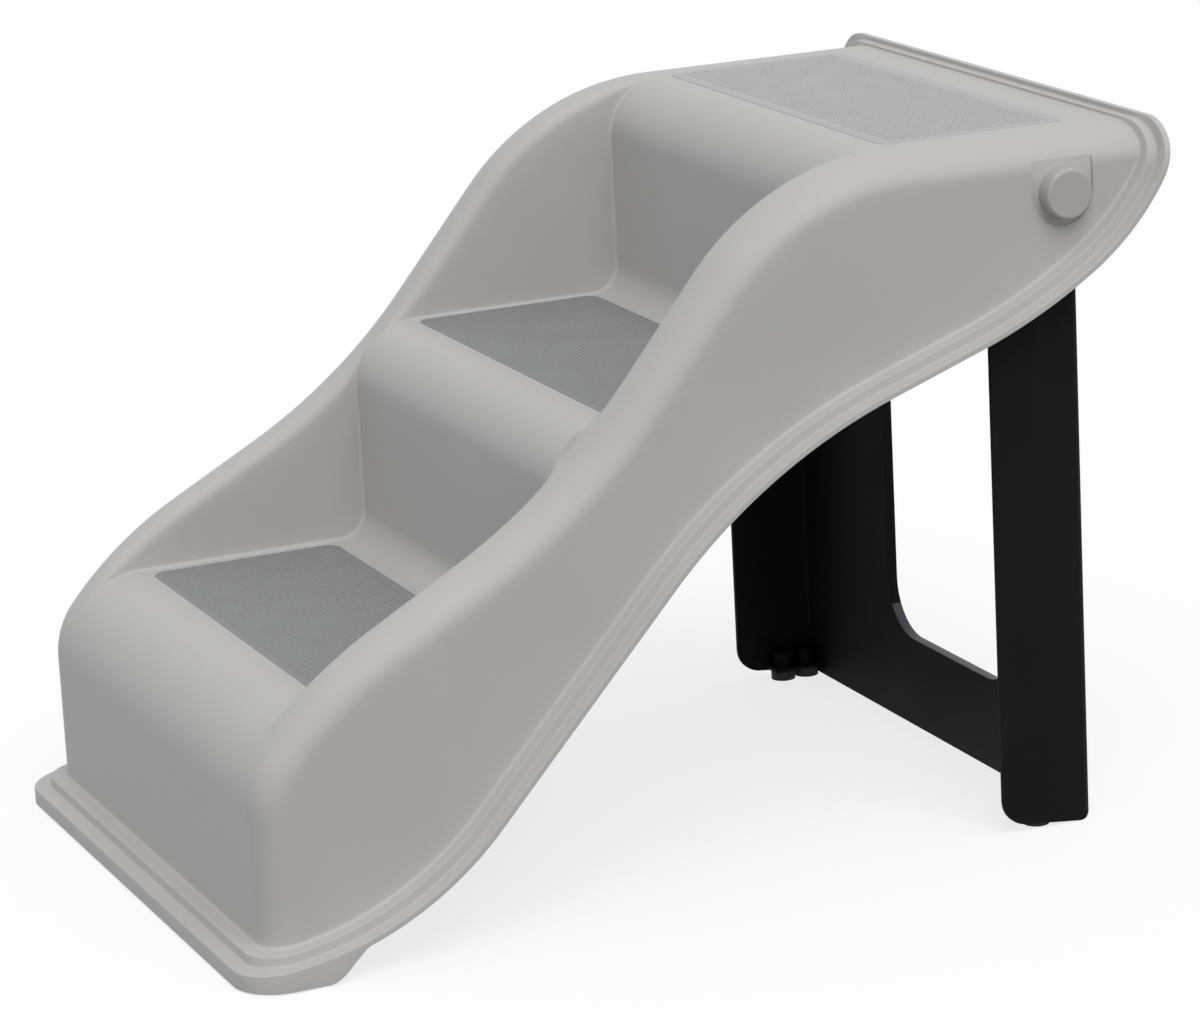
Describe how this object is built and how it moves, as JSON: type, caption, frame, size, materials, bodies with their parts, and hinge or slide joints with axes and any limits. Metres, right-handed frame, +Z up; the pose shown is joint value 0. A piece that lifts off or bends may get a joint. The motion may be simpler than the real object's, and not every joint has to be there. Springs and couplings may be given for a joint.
{
  "type": "folding pet stairs",
  "caption": "Moulded three-step pet stairs with curved side rails, inset tread mats and a folding rear leg frame on two side pivots.",
  "frame": {"origin": "on the ground, in the middle of the width and of the overall length from the front lip to the back lip", "axes": "+Z up, +Y along the stairs from the lowest step to the platform, +X to the right of someone who climbs them"},
  "size_m": [0.425, 0.5996, 0.425],
  "materials": {
    "shell": "satin",
    "mat_dark": "matte",
    "mat_light": "matte",
    "leg": "satin",
    "cap": "satin",
    "bush": "satin",
    "steel": "brushed",
    "foot": "matte"
  },
  "bodies": {
    "body": {"step_body": "shell", "mat_low": "mat_dark", "mat_mid": "mat_dark", "mat_top": "mat_light", "pivot_pin_left": "cap", "pivot_pin_right": "cap", "pivot_washer_left": "bush", "pivot_washer_right": "bush", "pivot_clip_left": "steel", "pivot_clip_right": "steel", "front_foot_left": "foot", "front_foot_right": "foot", "front_foot_screws": "steel"},
    "leg": {"leg_frame": "leg", "pivot_bush_left": "bush", "pivot_bush_right": "bush", "leg_foot_left_front": "foot", "leg_foot_left_back": "foot", "leg_foot_right_front": "foot", "leg_foot_right_back": "foot", "leg_foot_screws": "steel"}
  },
  "joints": [
    {"name": "leg_fold", "type": "hinge", "parent": "body", "child": "leg", "pos_m": [0, 0.23575, 0.3877], "axis": [-1, 0, 0], "range_deg": [0, 52]}
  ]
}
